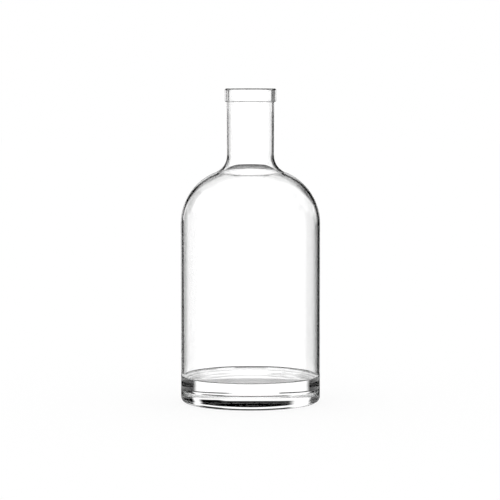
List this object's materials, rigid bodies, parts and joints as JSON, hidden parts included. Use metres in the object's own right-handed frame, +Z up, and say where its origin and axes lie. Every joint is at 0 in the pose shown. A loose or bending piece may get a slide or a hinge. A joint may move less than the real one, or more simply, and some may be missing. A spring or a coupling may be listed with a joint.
{
  "type": "cork-top bottle",
  "caption": "Clear round glass bottle with a heavy base, domed shoulder, short straight neck and a banded lip that takes a cork.",
  "frame": {"origin": "centre of the foot, on the surface that the bottle stands on", "axes": "+Z up along the bottle's axis, from the foot to the mouth; the bottle is round, so +X and +Y are alike"},
  "size_m": [0.092, 0.092, 0.2072],
  "materials": {
    "glass": "clear, colourless, gloss"
  },
  "bodies": {
    "root": {"bottle": "glass"}
  },
  "joints": []
}
